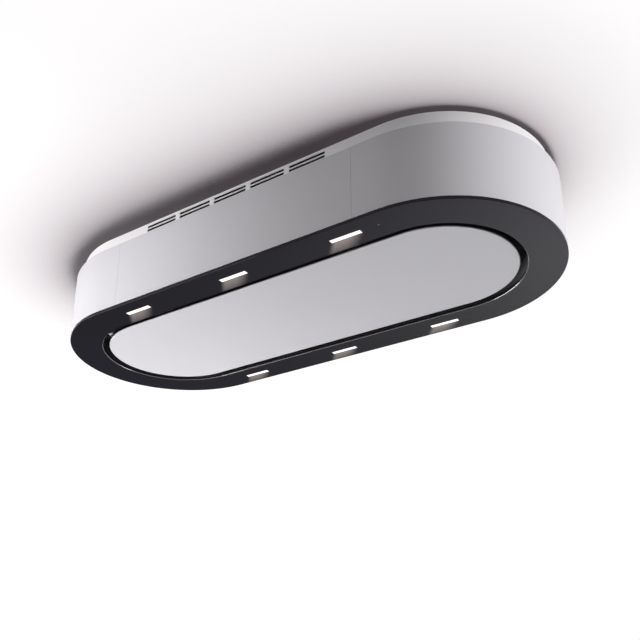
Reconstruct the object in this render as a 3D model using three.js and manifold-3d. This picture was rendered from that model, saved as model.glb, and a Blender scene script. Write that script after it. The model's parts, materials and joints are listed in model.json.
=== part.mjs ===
// Ceiling range hood with recirculated air, hung under a ceiling.
// Millimetres, +Z up. The origin is the centre of the face that lies on the ceiling, the hood hangs below it,
// X runs along its length and Y across it. The centre panel is shut and the filters are latched.

import * as THREE from "three";
import { mergeVertices } from "three/addons/utils/BufferGeometryUtils.js";
import Module from "manifold-3d";

const wasm = await Module();
wasm.setup();

// ---------------------------------------------------------------- driving dimensions

// The body: a straight middle between two half rounds.
const hoodLength = 1200;
const hoodWidth = 500;
const bodyHeight = 160;
const sheet = 1.5; // outer panels and chassis sheets
const seamSetback = 50; // seams between side panels and end shells, inside the start of the half rounds
const seamGap = 1;
const flangeWidth = 14; // folded edges of the side panels

// The plinth between the body and the ceiling, with its air slots.
const plinthHeight = 35;
const plinthInset = 15;
const ceilingPlateThickness = 2;
const slotLength = 84;
const slotHeight = 6;
const slotBar = 12; // between neighbouring slots
const slotsPerRow = 5;
const slotRowDepths = [9, 17.5]; // middle of each row, below the ceiling
const postSetback = 40; // hanger posts and cable entry, inside the start of the half rounds
const postInset = 115; // hanger posts, from the plinth's outside
const postRadius = 7;
const fixingReach = 60; // outer fixing holes, past the start of the half rounds
const fixingInset = 105; // fixing holes, from the plinth's outside
const fixingHoleRadius = 3.5;
const cableEntrySize = 46;

// The black glass ring and its lamps.
const glassThickness = 6;
const glassWidth = 75; // of the ring, from its outer to its inner edge
const lipSetback = 1.5; // the steel lip stands back behind the glass edge
const lampsPerRow = 3;
const lampEndSetback = 85; // outer lamps' middles, inside the start of the half rounds
const lampLength = 68;
const lampWidth = 12;
const lampFlange = 4; // lens flange around the window
const lampFlangeThickness = 1.2;
const railEndMargin = 12; // lamp rail past the last lens flange
const railWidth = 30;
const railBase = 3;
const railHeight = 15;
const railFins = 5;
const railFinThickness = 2;
const receiverGap = 36; // from the last lamp's window to the remote control's receiver
const receiverRadius = 2.5;
const receiverFlange = 2;
const receiverHeight = 3;

// The hinged centre panel and its hinges and catches.
const intakeGap = 15; // between the glass ring and the panel
const panelRecess = 3; // above the glass face
const panelDepth = 8;
const panelSheet = 1;
const fittingSetback = 110; // hinges and catches, inside the start of the half rounds
const knuckleGap = 0.5; // between a hinge's knuckles and the glass ring's inner edge
const pivotDrop = 1; // hinge pivot below the panel's top
const leafThickness = 1.5;
const leafLength = 52;
const leafDepth = 26; // of the leaf on the panel
const knuckleRadius = 3;
const knuckleLength = 24; // the fixed one, in the middle
const sideKnuckleLength = 12;
const pinRadius = 1.5;
const pinClearance = 0.15;
const pinOverhang = 2; // past the outer knuckles
const bracketSheet = 2;
const bracketDepth = 20;
const bracketGap = 0.5; // between the steel lip and the bracket's foot
const catchSetback = 18; // from the panel's rear edge to the catch's middle
const catchLength = 40;
const catchDepth = 12;
const catchStemLength = 20;
const catchFoot = 60; // length of the catch's screw flange
const magnetHeight = 7;

// The deck with the three grease filters.
const deckRise = 37; // deck's underside above the glass face
const airBoxMargin = 15; // air box wall, outside the glass ring's inner edge
const filterCount = 3;
const filterReach = 93; // row of filters, past the start of the half rounds
const filterSetback = 42; // filters, inside the panel's edges
const filterGap = 8; // between neighbouring filters
const filterHeight = 9;
const filterBar = 13; // width of the filter's frame bars
const filterOverlap = 6; // frame over the edge of the deck opening
const pleatCount = 20;
const pleatHeight = 5;
const pleatSheet = 1;
const railLipDepth = 8;
const filterRailSheet = 1.5;
const railMargin = 8; // rail past the outer filters
const latchLength = 46;
const latchDepth = 22;
const latchHeight = 3.5;
const latchTongueLength = 30;
const latchTongueHeight = 2;
const latchTravel = 7;
const latchSlack = 2.5; // drawn back, the tongue stands this far clear of the rail's lip
const latchGrip = 3.5;
const latchGripThickness = 3;

// The blower.
const scrollWall = 1.5;
const cutoffAngle = -60; // degrees, where the scroll starts
const cutoffGap = 12; // between the impeller and the scroll's start
const scrollGrowth = 54; // from the cutoff to the outlet
const scrollSteps = 30;
const mouthReach = 66; // the scroll's mouth, past the cutoff's radius
const inletRadius = 78;
const inletFlare = 14;
const inletDepth = 9;
const inletWall = 1.5;
const inletSteps = 3;
const impellerRadius = 94;
const impellerEyeRadius = 72;
const impellerHeight = 44;
const impellerPlate = 2;
const impellerClearance = 3; // below the scroll's top sheet
const impellerFloorGap = 6; // above the scroll's bottom sheet
const bladeCount = 9;
const bladeThickness = 2;
const bladeRootRadius = 46;
const bladeSweep = 42; // degrees that a blade trails from root to tip
const bladeSteps = 5;
const hubRadius = 15;
const hubHeight = 18;
const shaftRadius = 5;
const shaftClearance = 0.2;
const shaftHoleGap = 3; // around the shaft, in the scroll's top sheet
const shaftSeat = 14; // length of the shaft inside the motor
const motorRadius = 52;
const motorHeight = 29;
const motorHeadroom = 4.5; // between the motor and the top plate
const motorGrooves = 4;
const motorGrooveDepth = 2.5;
const strapGap = 11; // between the motor and the straps that carry the blower
const strapWidth = 22;
const strapSheet = 2;
const strapSpan = 150; // over the straps' feet
const strapBase = 75; // inside the straps, on the scroll
const ductWidth = 68; // outlet elbow, inside, along X
const ductBend = 40;

// Filters, boxes and the cable inlet.
const charcoalDepth = 18;
const charcoalRib = 6; // between the charcoal cassette's windows
const charcoalWindowDepth = 6;
const controlLength = 120;
const controlWidth = 150;
const controlHeight = 38;
const controlGap = 70; // between the scroll and the control box
const controlWall = 2;
const driverLength = 130;
const driverWidth = 54;
const driverHeight = 26;
const driverGap = 11.5; // between the outlet duct and the LED driver's tab
const driverTab = 12;
const driverTabWidth = 27;
const driverTabThickness = 3;
const terminalLength = 70;
const terminalWidth = 60;
const terminalHeight = 26;
const terminalGap = 24; // from the cable entry to the terminal box
const glandRadius = 9;
const glandLength = 14;
const glandBore = 4.5;

// Clearance between pieces that rest in or against each other, and how far cutting tools reach past a face.
const touchGap = 0.3;
const toolMargin = 1;

// Facets.
const arcSegments = 24; // each half round of the outside
const innerArcSegments = 12; // each half round of the air box
const wheelSegments = 24; // the blower's round parts
const roundSegments = 16; // small round parts and holes
const hexSides = 6; // hexagon posts and nut

// ---------------------------------------------------------------- derived sizes

const bodyRadius = hoodWidth / 2;
const straightHalf = (hoodLength - hoodWidth) / 2;
const seamX = straightHalf - seamSetback;
const chassisRadius = bodyRadius - sheet - touchGap; // plates inside the side panels

const plinthRadius = bodyRadius - plinthInset;
const plinthInner = plinthRadius - sheet;
const plenumHeight = plinthHeight - ceilingPlateThickness;
const slotPitch = slotLength + slotBar;
const postX = straightHalf - postSetback;
const postY = plinthRadius - postInset;
const fixingX = straightHalf + fixingReach;
const fixingY = plinthRadius - fixingInset;
const cableEntryX = -postX;

const bodyTop = -plinthHeight;
const topPlateUnder = bodyTop - sheet;
const bottomLevel = bodyTop - bodyHeight;
const glassTop = bottomLevel + glassThickness;
const carrierTop = glassTop + sheet;
const intakeRadius = bodyRadius - glassWidth;
const lipRadius = intakeRadius + lipSetback;
const lampPitch = straightHalf - lampEndSetback;
const lampOffset = bodyRadius - glassWidth / 2; // lamps' middles, from the centre line
const receiverX = lampPitch + lampLength / 2 + receiverGap;

const panelRadius = intakeRadius - intakeGap;
const panelUnder = bottomLevel + panelRecess;
const panelTop = panelUnder + panelDepth;
const fittingX = straightHalf - fittingSetback;
const pivotY = -(intakeRadius - knuckleGap - knuckleRadius);
const pivotZ = panelTop - pivotDrop;
const catchY = panelRadius - catchSetback;

const airBoxRadius = intakeRadius + airBoxMargin;
const airBoxInner = airBoxRadius - sheet;
const deckLevel = bottomLevel + deckRise; // underside
const deckTop = deckLevel + sheet;
const filterRowLength = 2 * (straightHalf + filterReach);
const filterLength = (filterRowLength - (filterCount - 1) * filterGap) / filterCount;
const filterPitch = filterLength + filterGap;
const filterWidth = 2 * (panelRadius - filterSetback);
const filterUnder = deckLevel - filterHeight;
const filterRailReach = filterWidth / 2 + touchGap;
const latchLevel = filterUnder - touchGap; // top of the latches
const latchReach = latchTravel - latchSlack; // tongue over the front rail's lip

const scrollTop = topPlateUnder - motorHeadroom - motorHeight;
const scrollHeight = impellerHeight + impellerClearance + impellerFloorGap + 2 * scrollWall;
const scrollUnder = scrollTop - scrollHeight;
const cutoff = THREE.MathUtils.degToRad(cutoffAngle);
const cutoffRadius = impellerRadius + cutoffGap;
const scrollEndRadius = cutoffRadius + scrollGrowth;
const scrollMouthX = cutoffRadius + mouthReach;
const tongueY = cutoffRadius * Math.sin(cutoff);
const impellerTop = scrollTop - scrollWall - impellerClearance;
const impellerUnder = impellerTop - impellerHeight;
const strapX = motorRadius + strapGap + strapWidth / 2;
const ductOuterX = scrollMouthX + ductBend + ductWidth;
const controlX = -(scrollEndRadius + controlGap + controlLength / 2);
const driverX = ductOuterX + scrollWall + driverGap + driverTab + driverLength / 2;

// ---------------------------------------------------------------- finishes

const finishes = {
  bodyPaint: { color: 0xd9d8da, roughness: 0.38, metalness: 0.0 },
  plinthPaint: { color: 0xe6e4e6, roughness: 0.5, metalness: 0.0 },
  panelPaint: { color: 0xd6d4d8, roughness: 0.32, metalness: 0.0 },
  blackGlass: { color: 0x0b0b0e, roughness: 0.08, metalness: 0.0 },
  lensPlastic: { color: 0xfffaf2, roughness: 0.4, metalness: 0.0 },
  zincSteel: { color: 0xa9adb0, roughness: 0.45, metalness: 0.8 },
  lipPaint: { color: 0x9b9ba0, roughness: 0.35, metalness: 0.2 },
  aluminium: { color: 0xc4c6c8, roughness: 0.35, metalness: 0.9 },
  blackPlastic: { color: 0x1d1e20, roughness: 0.55, metalness: 0.0 },
  greyPlastic: { color: 0x6e7276, roughness: 0.5, metalness: 0.0 },
  motorPaint: { color: 0x2f3438, roughness: 0.5, metalness: 0.4 },
  charcoal: { color: 0x161616, roughness: 0.9, metalness: 0.0 },
  shaftSteel: { color: 0xb5b8bb, roughness: 0.25, metalness: 1.0 },
};

// ---------------------------------------------------------------- helpers

const hood = new THREE.Group();

// Adds one named piece with a material of its own.
function place(name, geometry, finish, x = 0, y = 0, z = 0) {
  const mesh = new THREE.Mesh(geometry, new THREE.MeshStandardMaterial(finishes[finish]));
  mesh.name = name;
  mesh.position.set(x, y, z);
  hood.add(mesh);
  return mesh;
}

// A closed mesh as a solid that can be joined and cut.
function toSolid(geometry) {
  const bare = geometry.clone();
  bare.deleteAttribute("normal");
  bare.deleteAttribute("uv");
  const merged = mergeVertices(bare);
  const vertProperties = new Float32Array(merged.attributes.position.array);
  const triVerts = new Uint32Array(merged.index.array);
  return new wasm.Manifold(new wasm.Mesh({ numProp: 3, vertProperties, triVerts }));
}

function toGeometry(solid) {
  const mesh = solid.getMesh();
  const geometry = new THREE.BufferGeometry();
  geometry.setAttribute("position", new THREE.BufferAttribute(mesh.vertProperties, 3));
  geometry.setIndex(new THREE.BufferAttribute(mesh.triVerts, 1));
  return geometry;
}

function join(...geometries) {
  const solids = geometries.map(toSolid);
  return toGeometry(solids.reduce((whole, solid) => whole.add(solid)));
}

function cut(geometry, ...tools) {
  const solids = tools.map(toSolid);
  return toGeometry(solids.reduce((whole, solid) => whole.subtract(solid), toSolid(geometry)));
}

function extrude(shape, low, high, curveSegments = arcSegments) {
  const options = { depth: high - low, bevelEnabled: false, curveSegments };
  return new THREE.ExtrudeGeometry(shape, options).translate(0, 0, low);
}

// A plate with holes cut right through it.
function plate(shape, low, high, holes, curveSegments = arcSegments) {
  const cutters = holes.map((hole) => extrude(hole, low - toolMargin, high + toolMargin));
  return cut(extrude(shape, low, high, curveSegments), ...cutters);
}

// A profile drawn in Y and Z, run along X between two places.
function runAlongX(shape, low, high) {
  const yAxis = new THREE.Vector3(0, 1, 0);
  const zAxis = new THREE.Vector3(0, 0, 1);
  const xAxis = new THREE.Vector3(1, 0, 0);
  return extrude(shape, low, high).applyMatrix4(new THREE.Matrix4().makeBasis(yAxis, zAxis, xAxis));
}

// A profile drawn in X and Z, run along Y between two places.
function runAlongY(shape, low, high) {
  return extrude(shape, -high, -low).rotateX(Math.PI / 2);
}

// The box between two corners.
function box(x0, x1, y0, y1, z0, z1) {
  const geometry = new THREE.BoxGeometry(x1 - x0, y1 - y0, z1 - z0);
  return geometry.translate((x0 + x1) / 2, (y0 + y1) / 2, (z0 + z1) / 2);
}

function cylinderZ(radius, z0, z1, segments = roundSegments) {
  const geometry = new THREE.CylinderGeometry(radius, radius, z1 - z0, segments);
  return geometry.rotateX(Math.PI / 2).translate(0, 0, (z0 + z1) / 2);
}

function cylinderX(radius, x0, x1, segments = roundSegments) {
  const geometry = new THREE.CylinderGeometry(radius, radius, x1 - x0, segments);
  return geometry.rotateZ(Math.PI / 2).translate((x0 + x1) / 2, 0, 0);
}

// A closed profile of [radius, height] points turned about Z.
function turned(points) {
  const closed = [...points, points[0]].map(([radius, height]) => new THREE.Vector2(radius, height));
  return new THREE.LatheGeometry(closed, wheelSegments).rotateX(Math.PI / 2);
}

// The hood's outline at a given half width: every plate and ring follows it.
function stadium(radius, Outline = THREE.Shape) {
  const outline = new Outline();
  outline.moveTo(-straightHalf, -radius);
  outline.lineTo(straightHalf, -radius);
  outline.absarc(straightHalf, 0, radius, -Math.PI / 2, Math.PI / 2);
  outline.lineTo(-straightHalf, radius);
  outline.absarc(-straightHalf, 0, radius, Math.PI / 2, Math.PI * 1.5);
  return outline;
}

function ring(outer, inner) {
  const shape = stadium(outer);
  shape.holes.push(stadium(inner, THREE.Path));
  return shape;
}

function polygon(points) {
  return new THREE.Shape(points.map(([x, y]) => new THREE.Vector2(x, y)));
}

function rectangle(x, y, length, width) {
  return polygon([
    [x - length / 2, y - width / 2],
    [x + length / 2, y - width / 2],
    [x + length / 2, y + width / 2],
    [x - length / 2, y + width / 2],
  ]);
}

function circle(x, y, radius) {
  const turns = Array.from({ length: roundSegments }, (_, index) => (index * Math.PI * 2) / roundSegments);
  return polygon(turns.map((turn) => [x + radius * Math.cos(turn), y + radius * Math.sin(turn)]));
}

// Calls a function for the front (-Y) and rear (+Y) sides.
function frontAndRear(make) {
  make("front", -1);
  make("rear", 1);
}

// Calls a function for the left (-X) and right (+X) ends.
function leftAndRight(make) {
  make("left", -1);
  make("right", 1);
}

// Positions of a row of equal steps about zero.
function centredRow(count, pitch) {
  return Array.from({ length: count }, (_, index) => (index - (count - 1) / 2) * pitch);
}

const lampRow = centredRow(lampsPerRow, lampPitch);
const lampPlaces = [-1, 1].flatMap((side) => lampRow.map((x) => [x, side * lampOffset]));
const filterPlaces = centredRow(filterCount, filterPitch);

// ---------------------------------------------------------------- ceiling plate, plinth and posts

function makeCeilingPlate() {
  const holes = [rectangle(cableEntryX, 0, cableEntrySize, cableEntrySize)];
  for (const x of [-fixingX, 0, fixingX]) {
    for (const side of [-1, 1]) {
      holes.push(circle(x, side * fixingY, fixingHoleRadius));
    }
  }
  const body = plate(stadium(plinthInner - touchGap), -ceilingPlateThickness, 0, holes);
  place("ceiling_plate", body, "zincSteel");
}

function makePlinth() {
  const slots = [];
  for (const side of [-1, 1]) {
    for (const x of centredRow(slotsPerRow, slotPitch)) {
      for (const depth of slotRowDepths) {
        const slot = new THREE.BoxGeometry(slotLength, sheet + 2 * toolMargin, slotHeight);
        slots.push(slot.translate(x, side * (plinthRadius - sheet / 2), -depth));
      }
    }
  }
  place("plinth", cut(extrude(ring(plinthRadius, plinthInner), bodyTop, 0), ...slots), "plinthPaint");
}

function makePosts() {
  let number = 1;
  for (const x of [-postX, postX]) {
    for (const y of [-postY, postY]) {
      const post = cylinderZ(postRadius, bodyTop, -ceilingPlateThickness, hexSides);
      place(`hanger_post_${number}`, post, "zincSteel", x, y);
      number += 1;
    }
  }
}

// ---------------------------------------------------------------- body

function makeTopPlate() {
  const outletX = ductOuterX - ductWidth / 2;
  const outletY = (tongueY - scrollEndRadius) / 2;
  const outletWidth = scrollEndRadius + tongueY - 2 * scrollWall;
  const outlet = rectangle(outletX, outletY, ductWidth, outletWidth);
  place("top_plate", plate(stadium(chassisRadius), topPlateUnder, bodyTop, [outlet]), "zincSteel");
}

function makeAirBox() {
  const wall = extrude(ring(airBoxRadius, airBoxInner), carrierTop, topPlateUnder, innerArcSegments);
  place("air_box_wall", wall, "zincSteel");
}

// The two straight side panels: a sheet with a folded edge above and below.
function makeSidePanels() {
  const halfLength = seamX - seamGap / 2;
  frontAndRear((name, side) => {
    const outer = side * bodyRadius;
    const inner = side * (bodyRadius - sheet);
    const flange = side * (bodyRadius - sheet - flangeWidth);
    const profile = polygon([
      [outer, glassTop],
      [outer, bodyTop],
      [inner, bodyTop],
      [inner, topPlateUnder - touchGap],
      [flange, topPlateUnder - touchGap],
      [flange, topPlateUnder - touchGap - sheet],
      [inner, topPlateUnder - touchGap - sheet],
      [inner, carrierTop + touchGap + sheet],
      [flange, carrierTop + touchGap + sheet],
      [flange, carrierTop + touchGap],
      [inner, carrierTop + touchGap],
      [inner, glassTop],
    ]);
    place(`side_panel_${name}`, runAlongX(profile, -halfLength, halfLength), "bodyPaint");
  });
}

// Plan of a band that runs from the seam round the right end and back.
function endBand(outer, inner) {
  const start = seamX + seamGap / 2;
  const band = new THREE.Shape();
  band.moveTo(start, -outer);
  band.lineTo(straightHalf, -outer);
  band.absarc(straightHalf, 0, outer, -Math.PI / 2, Math.PI / 2);
  band.lineTo(start, outer);
  band.lineTo(start, inner);
  band.lineTo(straightHalf, inner);
  band.absarc(straightHalf, 0, inner, Math.PI / 2, -Math.PI / 2, true);
  band.lineTo(start, -inner);
  band.closePath();
  return band;
}

function makeEndShells() {
  const flangeBand = endBand(bodyRadius - sheet / 2, bodyRadius - sheet - flangeWidth);
  const upper = topPlateUnder - touchGap;
  const lower = carrierTop + touchGap;
  leftAndRight((name, side) => {
    const shell = join(
      extrude(endBand(bodyRadius, bodyRadius - sheet), glassTop, bodyTop),
      extrude(flangeBand, upper - sheet, upper),
      extrude(flangeBand, lower, lower + sheet),
    );
    place(`end_shell_${name}`, shell, "bodyPaint").rotation.z = side < 0 ? Math.PI : 0;
  });
}

// ---------------------------------------------------------------- glass ring and lamps

function makeGlassCarrier() {
  const around = 2 * (lampFlange + touchGap);
  const holes = lampPlaces.map(([x, y]) => rectangle(x, y, lampLength + around, lampWidth + around));
  holes.push(circle(receiverX, -lampOffset, receiverRadius + receiverFlange + touchGap));
  const floor = plate(ring(chassisRadius, lipRadius), glassTop, carrierTop, holes);
  const lip = extrude(ring(lipRadius + sheet, lipRadius), glassTop, deckLevel);
  place("glass_carrier", join(floor, lip), "lipPaint");
}

function makeGlassRing() {
  const holes = lampPlaces.map(([x, y]) => rectangle(x, y, lampLength, lampWidth));
  holes.push(circle(receiverX, -lampOffset, receiverRadius));
  const glass = plate(ring(bodyRadius, intakeRadius), bottomLevel, glassTop, holes);
  place("glass_ring", glass, "blackGlass");
}

function makeLenses() {
  const halfLength = lampLength / 2 - touchGap;
  const halfWidth = lampWidth / 2 - touchGap;
  const flangeHalfLength = lampLength / 2 + lampFlange;
  const flangeHalfWidth = lampWidth / 2 + lampFlange;
  lampPlaces.forEach(([x, y], index) => {
    const window = box(-halfLength, halfLength, -halfWidth, halfWidth, bottomLevel, carrierTop - touchGap);
    const flange = box(
      -flangeHalfLength,
      flangeHalfLength,
      -flangeHalfWidth,
      flangeHalfWidth,
      glassTop,
      glassTop + lampFlangeThickness,
    );
    place(`lamp_lens_${index + 1}`, join(window, flange), "lensPlastic", x, y);
  });
}

// The finned aluminium rail that carries one side's three lamp boards.
function makeLampRails() {
  const halfLength = lampPitch + lampLength / 2 + lampFlange + railEndMargin;
  const finPitch = (railWidth - railFinThickness) / (railFins - 1);
  const base = carrierTop + railBase;
  const crest = carrierTop + railHeight;
  const points = [[-railWidth / 2, carrierTop], [railWidth / 2, carrierTop]];
  for (const middle of centredRow(railFins, finPitch).reverse()) {
    const near = middle + railFinThickness / 2;
    const far = middle - railFinThickness / 2;
    points.push([near, base], [near, crest], [far, crest], [far, base]);
  }
  // The outer fins stand flush with the base's edges, so their feet add no corner.
  const outline = points.filter(([y, z]) => !(z === base && Math.abs(y) === railWidth / 2));
  frontAndRear((name, side) => {
    const rail = runAlongX(polygon(outline), -halfLength, halfLength);
    place(`lamp_rail_${name}`, rail, "aluminium", 0, side * lampOffset);
  });
}

function makeReceiver() {
  const window = cylinderZ(receiverRadius - touchGap, bottomLevel, carrierTop);
  const head = cylinderZ(receiverRadius + receiverFlange, glassTop, glassTop + receiverHeight);
  place("receiver_window", join(window, head), "blackPlastic", receiverX, -lampOffset);
}

// ---------------------------------------------------------------- centre panel

function makePanel() {
  const face = extrude(stadium(panelRadius), panelUnder, panelUnder + panelSheet);
  const rim = extrude(ring(panelRadius, panelRadius - panelSheet), panelUnder, panelTop);
  place("panel_skin", join(face, rim), "panelPaint");
  const backing = stadium(panelRadius - panelSheet - touchGap);
  place("panel_backing", extrude(backing, panelTop - panelSheet, panelTop), "zincSteel");
}

// A round bar along the hinge's pivot line.
function pivotBar(radius, x0, x1) {
  return cylinderX(radius, x0, x1).translate(0, pivotY, pivotZ);
}

// The two hinges in the front intake gap. The leaf's two arms reach from the panel to the pivot, and the
// bracket's knuckle between them hangs from the filter deck.
function makeHinges() {
  const fixedHalf = knuckleLength / 2;
  const innerEnd = fixedHalf + touchGap;
  const outerEnd = innerEnd + sideKnuckleLength;
  const pinHalf = outerEnd + pinOverhang;
  const boreRadius = pinRadius + pinClearance;
  const leafFront = -panelRadius;
  const footFront = -(lipRadius - bracketGap);
  leftAndRight((name, side) => {
    const bore = pivotBar(boreRadius, -pinHalf, pinHalf);
    const leaf = box(
      -leafLength / 2,
      leafLength / 2,
      leafFront,
      leafFront + leafDepth,
      panelTop,
      panelTop + leafThickness,
    );
    const arms = [-outerEnd, innerEnd].map((x0) => {
      const x1 = x0 + sideKnuckleLength;
      const arm = box(x0, x1, pivotY, leafFront + leafDepth / 2, panelTop, panelTop + leafThickness);
      return join(arm, pivotBar(knuckleRadius, x0, x1));
    });
    place(`hinge_leaf_${name}`, cut(join(leaf, ...arms), bore), "zincSteel", side * fittingX);

    const web = box(
      -fixedHalf,
      fixedHalf,
      pivotY - bracketSheet / 2,
      pivotY + bracketSheet / 2,
      pivotZ + (boreRadius + knuckleRadius) / 2,
      deckLevel,
    );
    const foot = box(
      -leafLength / 2,
      leafLength / 2,
      footFront,
      footFront + bracketDepth,
      deckLevel - bracketSheet,
      deckLevel,
    );
    const bracket = cut(join(pivotBar(knuckleRadius, -fixedHalf, fixedHalf), web, foot), bore);
    place(`hinge_bracket_${name}`, bracket, "zincSteel", side * fittingX);

    place(`hinge_pin_${name}`, pivotBar(pinRadius, -pinHalf, pinHalf), "shaftSteel", side * fittingX);
  });
}

// A magnet held just above the panel's steel backing.
function makeCatches() {
  const magnetUnder = panelTop + touchGap;
  const halfLength = catchLength / 2;
  const halfDepth = catchDepth / 2;
  leftAndRight((name, side) => {
    const head = box(-halfLength, halfLength, -halfDepth, halfDepth, magnetUnder, magnetUnder + magnetHeight);
    const stem = box(
      -catchStemLength / 2,
      catchStemLength / 2,
      -halfDepth,
      halfDepth,
      magnetUnder + magnetHeight / 2,
      deckLevel,
    );
    const foot = box(
      -catchFoot / 2,
      catchFoot / 2,
      -halfDepth,
      halfDepth,
      deckLevel - bracketSheet,
      deckLevel,
    );
    place(`magnet_catch_${name}`, join(head, stem, foot), "blackPlastic", side * fittingX, catchY);
  });
}

// ---------------------------------------------------------------- filter deck, rails and grease filters

function makeFilterDeck() {
  const length = filterLength - 2 * filterOverlap;
  const width = filterWidth - 2 * filterOverlap;
  const holes = filterPlaces.map((x) => rectangle(x, 0, length, width));
  const deck = plate(stadium(airBoxInner - touchGap), deckLevel, deckTop, holes, innerArcSegments);
  place("filter_deck", deck, "zincSteel");
}

// Angle rails under the deck: the rear one carries the filters, the front one holds their latches.
function makeFilterRails() {
  const halfLength = filterPitch + filterLength / 2 + railMargin;
  const latchRailSetback = latchReach + railLipDepth;
  const rearLip = filterUnder - touchGap;
  const frontLip = latchLevel - latchTongueHeight - touchGap;
  const rear = polygon([
    [filterRailReach, deckLevel],
    [filterRailReach, rearLip],
    [filterRailReach - railLipDepth, rearLip],
    [filterRailReach - railLipDepth, rearLip - filterRailSheet],
    [filterRailReach + filterRailSheet, rearLip - filterRailSheet],
    [filterRailReach + filterRailSheet, deckLevel],
  ]);
  const front = polygon([
    [-filterRailReach - latchRailSetback, deckLevel],
    [-filterRailReach - latchRailSetback - filterRailSheet, deckLevel],
    [-filterRailReach - latchRailSetback - filterRailSheet, frontLip - filterRailSheet],
    [-filterRailReach - latchRailSetback + railLipDepth, frontLip - filterRailSheet],
    [-filterRailReach - latchRailSetback + railLipDepth, frontLip],
    [-filterRailReach - latchRailSetback, frontLip],
  ]);
  place("filter_rail_rear", runAlongX(rear, -halfLength, halfLength), "zincSteel");
  place("filter_rail_front", runAlongX(front, -halfLength, halfLength), "zincSteel");
}

// One sheet folded into pleats across the filter, as a band of even thickness.
function pleatedSheet(length, width) {
  const pitch = length / pleatCount;
  const fold = (index) => (index % 2 === 0 ? -pleatHeight / 2 : pleatHeight / 2);
  const under = [];
  const over = [];
  for (let index = 0; index <= pleatCount; index += 1) {
    const x = -length / 2 + index * pitch;
    under.push([x, fold(index) - pleatSheet / 2]);
    over.push([x, fold(index) + pleatSheet / 2]);
  }
  return runAlongY(polygon([...under, ...over.reverse()]), -width / 2, width / 2);
}

function makeGreaseFilters() {
  const innerLength = filterLength - 2 * filterBar;
  const innerWidth = filterWidth - 2 * filterBar;
  filterPlaces.forEach((x, index) => {
    const outline = rectangle(0, 0, filterLength, filterWidth);
    const frame = plate(outline, filterUnder, deckLevel, [rectangle(0, 0, innerLength, innerWidth)]);
    place(`filter_frame_${index + 1}`, frame, "aluminium", x);
    const mesh = pleatedSheet(innerLength - 2 * touchGap, innerWidth - 2 * touchGap);
    const middle = deckLevel - filterHeight / 2;
    place(`filter_mesh_${index + 1}`, mesh, "aluminium", x, 0, middle);
  });
}

// Sliding latch on each filter's front bar: pulled back, its tongue leaves the front rail's lip.
function makeFilterLatches() {
  const front = -filterWidth / 2;
  const tongueTip = -filterRailReach - 2 * latchReach;
  filterPlaces.forEach((x, index) => {
    const body = box(
      -latchLength / 2,
      latchLength / 2,
      front,
      front + latchDepth,
      latchLevel - latchHeight,
      latchLevel,
    );
    const tongue = box(
      -latchTongueLength / 2,
      latchTongueLength / 2,
      tongueTip,
      front + latchDepth / 2,
      latchLevel - latchTongueHeight,
      latchLevel,
    );
    const grip = box(
      -latchLength / 2,
      latchLength / 2,
      front + latchDepth - latchGripThickness,
      front + latchDepth,
      latchLevel - latchHeight - latchGrip,
      latchLevel - latchHeight / 2,
    );
    place(`filter_latch_${index + 1}`, join(body, tongue, grip), "blackPlastic", x);
  });
}

// ---------------------------------------------------------------- blower

// Plan of the scroll: a growing spiral that runs out into a straight mouth towards +X.
// The inset draws the same plan smaller by the wall.
function scrollPlan(inset, mouthX) {
  const turn = Math.PI * 1.5 - cutoff;
  const points = [];
  for (let step = 0; step <= scrollSteps; step += 1) {
    const share = step / scrollSteps;
    const angle = cutoff + turn * share;
    const radius = cutoffRadius + scrollGrowth * share - inset;
    points.push([radius * Math.cos(angle), radius * Math.sin(angle)]);
  }
  points.push([mouthX, -scrollEndRadius + inset], [mouthX, tongueY - inset]);
  return polygon(points);
}

function makeScroll() {
  const outside = extrude(scrollPlan(0, scrollMouthX), scrollUnder, scrollTop);
  const insideTop = scrollTop - scrollWall;
  const insideUnder = scrollUnder + scrollWall;
  const inside = extrude(scrollPlan(scrollWall, scrollMouthX + toolMargin), insideUnder, insideTop);
  const inlet = cylinderZ(inletRadius, scrollUnder - toolMargin, insideUnder + toolMargin, wheelSegments);
  const shaftHole = cylinderZ(shaftRadius + shaftHoleGap, insideTop - toolMargin, scrollTop + toolMargin);
  place("blower_scroll", cut(outside, inside, inlet, shaftHole), "zincSteel");
}

// Flared ring under the scroll's inlet: a quarter ellipse of even wall, turned about the shaft.
function makeInletRing() {
  const throat = inletRadius - inletWall;
  const flare = (wall) =>
    Array.from({ length: inletSteps + 1 }, (_, step) => {
      const turn = (step / inletSteps) * (Math.PI / 2);
      const spread = inletFlare * (1 - Math.cos(turn));
      const drop = inletDepth * Math.sin(turn);
      return [throat + wall + spread, scrollUnder - drop + wall];
    });
  const seatEdge = [throat + 2 * inletWall, scrollUnder];
  const profile = [...flare(0), ...flare(inletWall).slice(1).reverse(), seatEdge];
  place("inlet_ring", turned(profile), "blackPlastic");
}

// Plan of one blade: a band of even thickness that trails from root to tip.
function bladePlan() {
  const sweep = THREE.MathUtils.degToRad(bladeSweep);
  const leading = [];
  const trailing = [];
  for (let step = 0; step <= bladeSteps; step += 1) {
    const share = step / bladeSteps;
    const radius = THREE.MathUtils.lerp(bladeRootRadius, impellerRadius, share);
    const angle = -sweep * share;
    const half = bladeThickness / 2 / radius;
    leading.push([radius * Math.cos(angle + half), radius * Math.sin(angle + half)]);
    trailing.push([radius * Math.cos(angle - half), radius * Math.sin(angle - half)]);
  }
  return polygon([...trailing, ...leading.reverse()]);
}

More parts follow.
